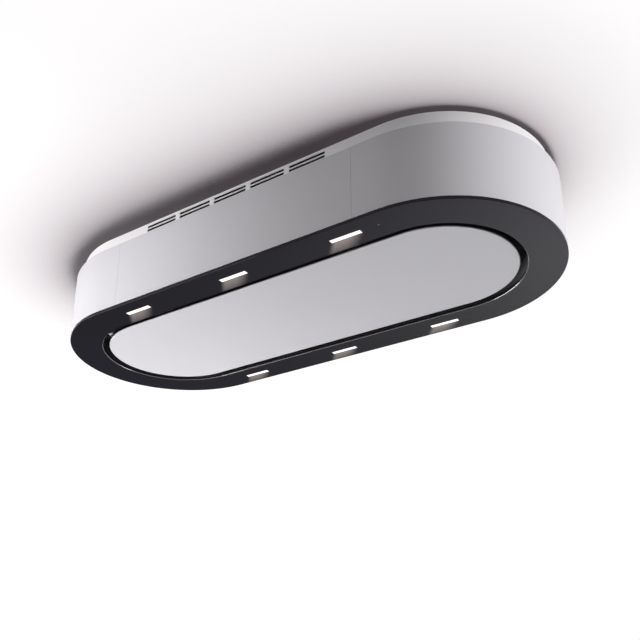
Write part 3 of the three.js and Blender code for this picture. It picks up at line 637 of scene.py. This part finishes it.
def window_outlines(receiver_level):
    """Outlines of the lamps' and the receiver's windows, the receiver's as wide as it is at that level."""
    outlines = []
    for lamp in LAMPS:
        x, y, length, width = footprint(lamp, GLASS_LOW.z)
        outlines.append(rectangle(x, y, length + 2 * FIT_GAP, width + 2 * FIT_GAP, WINDOW_ROUNDING))
    x, y, size, _ = footprint("receiver_window", receiver_level)
    outlines.append(circle(x, y, size / 2 + FIT_GAP))
    return outlines


def make_glass_ring():
    inner = inner_radius("glass_ring")
    profile = rounded([
        (GLASS_HIGH.y, GLASS_HIGH.z, CUT_EDGE),
        (GLASS_HIGH.y, GLASS_LOW.z, POLISHED_EDGE),
        (inner + POLISHED_EDGE, GLASS_LOW.z, 0),
        (inner, GLASS_LOW.z + POLISHED_EDGE, 0),
        (inner, GLASS_HIGH.z, 0),
    ])
    ring = sweep("glass_ring_polished", profile, whole_path())
    carve(ring, prisms("windows", window_outlines(GLASS_LOW.z), GLASS_LOW.z - MM, GLASS_HIGH.z + MM))
    finish_piece(ring, MATERIALS["black_glass"], replaced=["glass_ring"])
    # The chamfer gets a mid grey as a painted highlight along the glass's inner edge.
    ring.data.materials.append(GLASS_EDGE_HIGHLIGHT)
    # The glass's inner wall is black as painted shade in the gap round the panel.
    ring.data.materials.append(SHADE_GAP_BLACK)
    for polygon in ring.data.polygons:
        if offset_from_middle(polygon.center) < inner + 0.9 * POLISHED_EDGE:
            polygon.material_index = 2 if is_wall(polygon) else 1


def make_lenses():
    for number, lamp in enumerate(LAMPS, 1):
        low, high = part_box(lamp)
        x, y, length, width = footprint(lamp, low.z)
        lens = prisms(f"opal_lens_{number}", [rectangle(x, y, length, width, WINDOW_ROUNDING)], low.z, high.z)
        soften(lens, LENS_EDGE)
        finish_piece(lens, MATERIALS["lens"], replaced=[lamp])


def make_receiver():
    low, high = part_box("receiver_window")
    x, y, size, _ = footprint("receiver_window", low.z)
    radius = size / 2
    head = (high.x - low.x) / 2
    dome = [(radius * math.sin(turn), low.z + DOME_HEIGHT * (1 - math.cos(turn))) for turn in DOME_TURNS]
    profile = dome + [(radius, GLASS_HIGH.z), (head, GLASS_HIGH.z), (head, high.z)]
    receiver = turned("receiver_dome", profile, x, y)
    finish_piece(receiver, MATERIALS["grey_plastic"], replaced=["receiver_window"])


# ---------------------------------------------------------------- body shells and plinth

SHELL_EDGE = 0.6 * MM
SHELL_HEM = 0.4 * MM
SEAM_WIDTH = 0.45 * MM
FLANGE = 14 * MM


def shell_profile(node):
    low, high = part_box(node)
    outer = outer_radius(node)
    inner = outer - SHEET
    flange = inner - FLANGE
    upper = high.z - SHEET - FIT_GAP
    lower = low.z + SHEET + FIT_GAP
    return rounded([
        (outer, low.z, SHELL_HEM),
        (outer, high.z, SHELL_EDGE),
        (inner, high.z, SHELL_HEM),
        (inner, upper, 0),
        (flange, upper, 0),
        (flange, upper - SHEET, 0),
        (inner, upper - SHEET, 0),
        (inner, lower + SHEET, 0),
        (flange, lower + SHEET, 0),
        (flange, lower, 0),
        (inner, lower, 0),
        (inner, low.z, 0),
    ])


def make_body():
    paint = MATERIALS["body_paint"]
    seam = (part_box("side_panel_front")[1].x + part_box("end_shell_right")[0].x) / 2
    for name, side in (("front", -1), ("rear", 1)):
        node = f"side_panel_{name}"
        path = side_path(side, seam - SEAM_WIDTH / 2)
        panel = sweep(f"side_sheet_{name}", shell_profile(node), path, ring=False)
        finish_piece(panel, paint, replaced=[node])
    for name, side in (("left", -1), ("right", 1)):
        node = f"end_shell_{name}"
        path = end_path(side, seam + SEAM_WIDTH / 2)
        shell = sweep(f"end_sheet_{name}", shell_profile(node), path, ring=False)
        finish_piece(shell, paint, replaced=[node])


PLINTH_HEM = 0.2 * MM
SLOT_LENGTH = 84 * MM
SLOT_HEIGHT = 6 * MM
SLOT_PITCH = 96 * MM
SLOT_ROWS = (-9 * MM, -17.5 * MM)
SLOT_GROUPS = range(-2, 3)
SLOT_ROUNDING = 1.5 * MM


def make_plinth():
    low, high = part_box("plinth")
    outer = outer_radius("plinth")
    inner = outer - SHEET
    profile = rounded([
        (outer, low.z, PLINTH_HEM),
        (outer, high.z, CUT_EDGE),
        (inner, high.z, CUT_EDGE),
        (inner, low.z, PLINTH_HEM),
    ])
    plinth = sweep("slotted_plinth", profile, whole_path())
    slots = [
        rectangle(group * SLOT_PITCH, level, SLOT_LENGTH, SLOT_HEIGHT, SLOT_ROUNDING)
        for group in SLOT_GROUPS
        for level in SLOT_ROWS
    ]
    for side in (-1, 1):
        near, far = sorted((side * (inner - MM), side * (outer + MM)))
        carve(plinth, prisms("slots", slots, near, far, along_y=True))
    finish_piece(plinth, MATERIALS["plinth_paint"], replaced=["plinth"])


# ---------------------------------------------------------------- glass carrier and centre panel


LIP_EDGE = 0.5 * MM


def make_carrier():
    low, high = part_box("glass_carrier")
    outer = outer_radius("glass_carrier")
    inner = inner_radius("glass_carrier")
    profile = rounded([
        (outer, low.z, 0),
        (inner, low.z, LIP_EDGE),
        (inner, high.z, CUT_EDGE),
        (inner + SHEET, high.z, CUT_EDGE),
        (inner + SHEET, low.z + SHEET, 0),
        (outer, low.z + SHEET, 0),
    ])
    carrier = sweep("carrier_lip", profile, whole_path())
    carve(carrier, prisms("windows", window_outlines(GLASS_HIGH.z), low.z - MM, low.z + SHEET + MM))
    finish_piece(carrier, MATERIALS["lip_paint"], replaced=["glass_carrier"])


PANEL_SHEET = 1 * MM
PANEL_EDGE = 1.8 * MM


def make_panel():
    low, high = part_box("panel_skin")
    outer = outer_radius("panel_skin")
    inner = outer - PANEL_SHEET
    floor = low.z + PANEL_SHEET
    outside = rounded([
        (0, low.z, 0),
        (outer, low.z, PANEL_EDGE),
        (outer, high.z, CUT_EDGE),
        (inner, high.z, 0),
    ])[1:]  # the first point only gives the lower corner its direction
    inside = [(inner, floor + PANEL_EDGE), (inner - PANEL_EDGE, floor)]
    panel = sweep("centre_panel_skin", outside + inside, whole_path(), capped=True)
    finish_piece(panel, MATERIALS["panel_paint"], "centre_panel", ["panel_skin"])
    # The rim's walls are black as painted shade in the gap round the panel.
    panel.data.materials.append(SHADE_GAP_BLACK)
    for polygon in panel.data.polygons:
        if is_wall(polygon) and offset_from_middle(polygon.center) > inner:
            polygon.material_index = 1


# ---------------------------------------------------------------- screws inside

HEAD_RADIUS = 3.2 * MM
HEAD_HEIGHT = 1.6 * MM
HEAD_SIDES = 24
SOCKET_RADIUS = 1.1 * MM
SCREW_SETBACK = 5 * MM  # from the edges of a hinge's plates
DECK_SCREW_SETBACK = 14 * MM  # from the carrier's lip
DECK_SCREW_TURNS = (-70, -35, 0, 35, 70)  # degrees from the hood's long axis


def make_screw(name, x, y, face, point, body="hood"):
    """A low domed head with a socket on a level face: above it where point is 1, below it where it is -1."""
    crown = face + point * HEAD_HEIGHT
    profile = [
        (SOCKET_RADIUS, face + point * 0.4 * HEAD_HEIGHT),
        (SOCKET_RADIUS, crown),
        (0.62 * HEAD_RADIUS, face + point * 0.9 * HEAD_HEIGHT),
        (0.88 * HEAD_RADIUS, face + point * 0.62 * HEAD_HEIGHT),
        (HEAD_RADIUS, face + point * 0.2 * HEAD_HEIGHT),
        (HEAD_RADIUS, face),
    ]
    finish_piece(turned(name, profile, x, y, HEAD_SIDES), MATERIALS["shaft_steel"], body)


def make_screws():
    """Two on each hinge plate, and a row round each end of the filter deck."""
    for side in ENDS:
        for plate, point, body in (("leaf", 1, "centre_panel"), ("bracket", -1, "hood")):
            node = f"hinge_{plate}_{side}"
            low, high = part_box(node)
            levels = [corner.z for corner in corners(node) if corner.y > high.y - MM]
            face = max(levels) if point > 0 else min(levels)
            for number, x in enumerate((low.x + SCREW_SETBACK, high.x - SCREW_SETBACK), 1):
                make_screw(f"{plate}_screw_{side}_{number}", x, high.y - SCREW_SETBACK, face, point, body)
    radius = inner_radius("glass_carrier") - DECK_SCREW_SETBACK
    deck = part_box("filter_deck")[0].z
    for name, side in (("left", -1), ("right", 1)):
        for number, degrees in enumerate(DECK_SCREW_TURNS, 1):
            turn = math.radians(degrees)
            x = side * (STRAIGHT + radius * math.cos(turn))
            make_screw(f"deck_screw_{name}_{number}", x, radius * math.sin(turn), deck, -1)


make_glass_ring()
make_lenses()
make_receiver()
make_body()
make_plinth()
make_carrier()
make_panel()
make_screws()


# ---------------------------------------------------------------- stage, light and camera

FLOOR_LEVEL = -2.2
STAGE_SIZE = 60
CEILING_LEVEL = 0.6 * MM
SHADOW_REACH = 0.8  # of the ceiling's soft shadow round the hood
SHADOW_LEAN = (0.18, 0.12, -0.98)  # the ceiling is darker on the side that this points away from
SHADOW_SAMPLES = 48
SHADOW_TONES = (  # how open the place is, and its tone
    (0.52, (0.016, 0.008, 0.012)),
    (0.55, (0.22, 0.195, 0.21)),
    (0.61, (0.40, 0.365, 0.385)),
    (0.7, (0.57, 0.53, 0.55)),
    (0.82, (0.75, 0.72, 0.735)),
    (0.95, (0.91, 0.89, 0.90)),
    (1.0, (1.0, 0.99, 0.998)),
)
FLOOR_GLOW = 0.87


def ceiling_material():
    """White ceiling that shows only from below, with a soft shadow where the hood hides its surroundings."""
    material, tree, shader = new_material("ceiling_white", (0.12, 0.117, 0.119), 0.9)
    shader.inputs["Specular IOR Level"].default_value = 0.0
    open_sky = tree.nodes.new("ShaderNodeAmbientOcclusion")
    open_sky.samples = SHADOW_SAMPLES
    open_sky.inputs["Distance"].default_value = SHADOW_REACH
    lean = tree.nodes.new("ShaderNodeCombineXYZ")
    for socket, number in zip(("X", "Y", "Z"), SHADOW_LEAN):
        lean.inputs[socket].default_value = number
    tree.links.new(lean.outputs["Vector"], open_sky.inputs["Normal"])
    tones = tree.nodes.new("ShaderNodeValToRGB")
    tree.links.new(open_sky.outputs["AO"], tones.inputs["Fac"])
    stops = tones.color_ramp.elements
    while len(stops) < len(SHADOW_TONES):
        stops.new(0.5)
    for stop, (position, tone) in zip(stops, SHADOW_TONES):
        stop.position = position
        stop.color = (*tone, 1)
    tree.links.new(tones.outputs["Color"], shader.inputs["Emission Color"])
    shader.inputs["Emission Strength"].default_value = 1
    clear = tree.nodes.new("ShaderNodeBsdfTransparent")
    choice = tree.nodes.new("ShaderNodeMixShader")
    side = tree.nodes.new("ShaderNodeNewGeometry")
    tree.links.new(side.outputs["Backfacing"], choice.inputs["Fac"])
    tree.links.new(shader.outputs["BSDF"], choice.inputs[1])
    tree.links.new(clear.outputs["BSDF"], choice.inputs[2])
    tree.links.new(choice.outputs["Shader"], tree.nodes["Material Output"].inputs["Surface"])
    return material


def floor_material():
    """Pale floor: the camera sees it lit evenly, and gloss sees it as the lights leave it."""
    material, tree, shader = new_material("floor_white", (0.86, 0.86, 0.86), 0.9)
    shader.inputs["Specular IOR Level"].default_value = 0.0
    shader.inputs["Emission Color"].default_value = (1, 1, 1, 1)
    ways = tree.nodes.new("ShaderNodeLightPath")
    glow = stretch(tree, ways.outputs["Is Camera Ray"], 0, 1, 0, FLOOR_GLOW)
    tree.links.new(glow, shader.inputs["Emission Strength"])
    return material


def stage_plane(name, level, facing_down, material):
    """A large level plane that neither blocks the light nor throws any back on the hood."""
    half = STAGE_SIZE / 2
    square = [(-half, -half, level), (half, -half, level), (half, half, level), (-half, half, level)]
    mesh = bpy.data.meshes.new(name)
    mesh.from_pydata(square, [], [[3, 2, 1, 0] if facing_down else [0, 1, 2, 3]])
    mesh.materials.append(material)
    plane = bpy.data.objects.new(name, mesh)
    scene.collection.objects.link(plane)
    plane.visible_shadow = False
    plane.visible_diffuse = False


def make_stage():
    stage_plane("stage_ceiling", CEILING_LEVEL, True, ceiling_material())
    stage_plane("stage_floor", FLOOR_LEVEL, False, floor_material())


def area_light(name, place, target, size, power):
    data = bpy.data.lights.new(name, "AREA")
    data.shape = "RECTANGLE"
    data.size, data.size_y = size
    data.energy = power
    light = bpy.data.objects.new(name, data)
    light.location = place
    light.rotation_mode = "QUATERNION"
    light.rotation_quaternion = (Vector(target) - Vector(place)).to_track_quat("-Z", "Y")
    scene.collection.objects.link(light)
    return light


AMBIENT = 0.11
LIGHTS = (  # name, place, target, size, power, and what it shows in: matt surfaces, gloss or both
    ("far_key_light", (-1.63, 0.9, -1.57), (0, 0, -0.2), (1.6, 1.2), 61, "matt"),
    ("left_near_light", (-0.45, -0.75, -0.2), (-0.45, 0, -0.1), (0.6, 0.3), 2.7, "matt"),
    ("left_end_light", (-1.35, -0.78, -0.3), (-0.5, 0, -0.1), (0.6, 0.4), 8.8, "matt"),
    ("right_near_light", (1.8, 0.0, -0.2), (0.5, 0, -0.1), (0.8, 0.4), 17, "matt"),
    ("floor_light", (0.4, 3.2, -0.2), (0.4, 3.2, -1.0), (0.8, 0.8), 75, "matt"),
    ("right_edge_light", (-1.15, 0.05, -1.35), (0.47, 0.1, -0.2), (0.9, 0.9), 18, "gloss"),
    ("left_edge_light", (0.24, 1.23, -1.57), (-0.5, 0.03, -0.2), (0.4, 0.4), 3.6, "gloss"),
    ("top_light", (0, 0, 3), (0, 0, 0), (1.2, 1.2), 45, "both"),
)


def make_light():
    for name, place, target, size, power, shows_in in LIGHTS:
        light = area_light(name, place, target, size, power)
        light.visible_glossy = shows_in != "matt"
        light.visible_diffuse = shows_in != "gloss"
    world = bpy.data.worlds.new("studio")
    scene.world = world
    world.use_nodes = True
    tree = world.node_tree
    tree.nodes.clear()
    ways = tree.nodes.new("ShaderNodeLightPath")
    seen = math_node(tree, "MAXIMUM", ways.outputs["Is Camera Ray"], ways.outputs["Is Glossy Ray"])
    seen = math_node(tree, "MAXIMUM", seen, ways.outputs["Is Transmission Ray"])
    background = tree.nodes.new("ShaderNodeBackground")
    background.inputs["Color"].default_value = (1, 1, 1, 1)
    tree.links.new(stretch(tree, seen, 0, 1, AMBIENT, 1), background.inputs["Strength"])
    output = tree.nodes.new("ShaderNodeOutputWorld")
    tree.links.new(background.outputs["Background"], output.inputs["Surface"])


CAMERA_PLACE = (0.9258, -1.3010, -1.0021)
CAMERA_YAW = 33.381
CAMERA_PITCH = 19.77
FOCAL_PIXELS = 800.7
PICTURE_PIXELS = 640
CAMERA_SHIFT = 0.15
SENSOR_WIDTH = 36


def make_camera():
    data = bpy.data.cameras.new("camera")
    data.sensor_width = SENSOR_WIDTH
    data.lens = FOCAL_PIXELS / PICTURE_PIXELS * SENSOR_WIDTH
    data.shift_y = CAMERA_SHIFT
    camera = bpy.data.objects.new("camera", data)
    camera.location = CAMERA_PLACE
    camera.rotation_euler = (math.radians(90 + CAMERA_PITCH), 0, math.radians(CAMERA_YAW))
    scene.collection.objects.link(camera)
    scene.camera = camera


make_stage()
make_light()
make_camera()
scene.view_settings.view_transform = "Standard"
